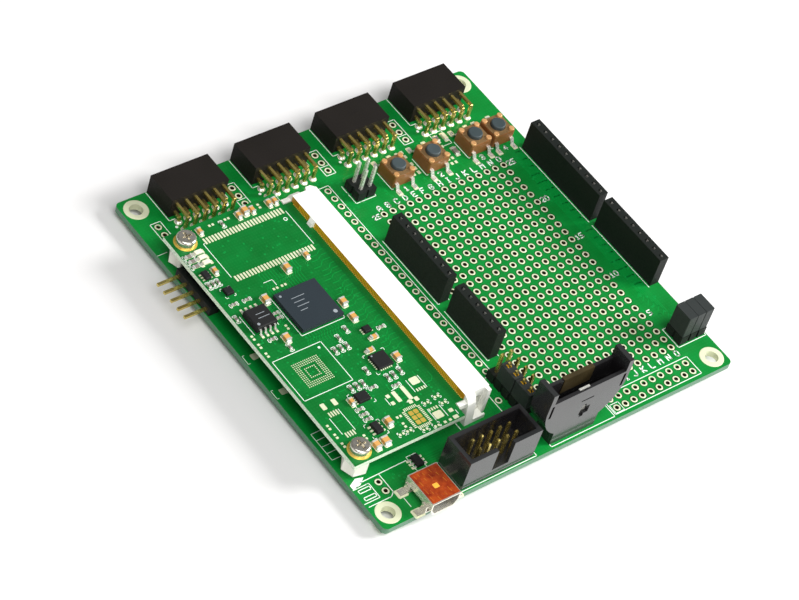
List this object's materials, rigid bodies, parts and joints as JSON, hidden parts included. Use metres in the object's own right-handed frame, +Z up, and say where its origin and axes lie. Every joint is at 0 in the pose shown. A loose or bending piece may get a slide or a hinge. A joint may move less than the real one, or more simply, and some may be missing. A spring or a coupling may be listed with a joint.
{
  "type": "microcontroller dev board",
  "caption": "Square development board with a plug-in computer module, pin sockets, a drilled prototyping field, push switches, jumper caps and an upright coin-cell holder.",
  "frame": {"origin": "centre of the four mounting holes, on the carrier board's upper face", "axes": "+X along the USB edge, +Y towards the edge with the four peripheral sockets, +Z up out of the board"},
  "size_m": [0.1055, 0.1015, 0.022],
  "materials": {
    "green_laminate": "satin",
    "white_nylon": "matte",
    "gold_plate": "polished",
    "tin_plate": "satin",
    "bright_steel": "satin",
    "charcoal_plastic": "matte",
    "black_plastic": "matte",
    "orange_film": "satin",
    "copper_brown": "satin",
    "dark_case": "matte",
    "brass": "polished",
    "slate_plastic": "matte",
    "slate_chip": "matte",
    "dark_chip": "matte",
    "tan_ceramic": "satin",
    "dark_ceramic": "satin",
    "clear_resin": "gloss"
  },
  "bodies": {
    "board": {"battery_front_contact": "tin_plate", "battery_holder": "black_plastic", "battery_rear_contact": "tin_plate", "carrier_board": "green_laminate", "chip_capacitors": "tan_ceramic", "chip_leads": "tin_plate", "chip_resistors": "dark_ceramic", "debug_header_pins": "gold_plate", "debug_header_shroud": "black_plastic", "indicator_lights": "clear_resin", "jumper_header_a_base": "black_plastic", "jumper_header_a_pins": "gold_plate", "jumper_header_b_base": "black_plastic", "jumper_header_b_pins": "gold_plate", "memory_chip": "dark_chip", "module_board": "green_laminate", "module_connector": "white_nylon", "module_connector_contacts": "gold_plate", "module_screws": "bright_steel", "module_spacers": "white_nylon", "peripheral_socket_1": "charcoal_plastic", "peripheral_socket_2": "charcoal_plastic", "peripheral_socket_3": "charcoal_plastic", "peripheral_socket_4": "charcoal_plastic", "peripheral_socket_pins": "gold_plate", "pin_header_base": "black_plastic", "pin_header_pins": "tin_plate", "processor_chip": "slate_chip", "shield_header_10_pin": "black_plastic", "shield_header_6_pin": "black_plastic", "shield_header_8_pin_left": "black_plastic", "shield_header_8_pin_right": "black_plastic", "shield_header_contacts": "tin_plate", "side_header_base": "black_plastic", "side_header_pins": "gold_plate", "small_chips": "dark_chip", "switch_cases": "dark_case", "switch_covers": "copper_brown", "switch_domes": "bright_steel", "switch_leads": "tin_plate", "switch_rivets": "brass", "usb_cover_film": "orange_film", "usb_shell": "bright_steel", "usb_tongue": "black_plastic"},
    "jumper_a1": {"jumper_cap_a1": "black_plastic", "jumper_clip_a1": "tin_plate"},
    "jumper_a2": {"jumper_cap_a2": "black_plastic", "jumper_clip_a2": "tin_plate"},
    "jumper_a3": {"jumper_cap_a3": "black_plastic", "jumper_clip_a3": "tin_plate"},
    "jumper_b1": {"jumper_cap_b1": "black_plastic", "jumper_clip_b1": "tin_plate"},
    "jumper_b2": {"jumper_cap_b2": "black_plastic", "jumper_clip_b2": "tin_plate"},
    "button_1": {"switch_button_1": "slate_plastic"},
    "button_2": {"switch_button_2": "slate_plastic"},
    "button_3": {"switch_button_3": "slate_plastic"},
    "button_4": {"switch_button_4": "slate_plastic"}
  },
  "joints": [
    {"name": "jumper_a1_lift", "type": "slide", "parent": "board", "child": "jumper_a1", "axis": [0, 0, 1], "range_m": [0, 0.0065]},
    {"name": "jumper_a2_lift", "type": "slide", "parent": "board", "child": "jumper_a2", "axis": [0, 0, 1], "range_m": [0, 0.0065]},
    {"name": "jumper_a3_lift", "type": "slide", "parent": "board", "child": "jumper_a3", "axis": [0, 0, 1], "range_m": [0, 0.0065]},
    {"name": "jumper_b1_lift", "type": "slide", "parent": "board", "child": "jumper_b1", "axis": [0, 0, 1], "range_m": [0, 0.0065]},
    {"name": "jumper_b2_lift", "type": "slide", "parent": "board", "child": "jumper_b2", "axis": [0, 0, 1], "range_m": [0, 0.0065]},
    {"name": "button_1_press", "type": "slide", "parent": "board", "child": "button_1", "axis": [0, 0, -1], "range_m": [0, 0.00025], "stiffness_N_per_m": 4000, "springref_m": -0.0002},
    {"name": "button_2_press", "type": "slide", "parent": "board", "child": "button_2", "axis": [0, 0, -1], "range_m": [0, 0.00025], "stiffness_N_per_m": 4000, "springref_m": -0.0002},
    {"name": "button_3_press", "type": "slide", "parent": "board", "child": "button_3", "axis": [0, 0, -1], "range_m": [0, 0.00025], "stiffness_N_per_m": 4000, "springref_m": -0.0002},
    {"name": "button_4_press", "type": "slide", "parent": "board", "child": "button_4", "axis": [0, 0, -1], "range_m": [0, 0.00025], "stiffness_N_per_m": 4000, "springref_m": -0.0002}
  ]
}
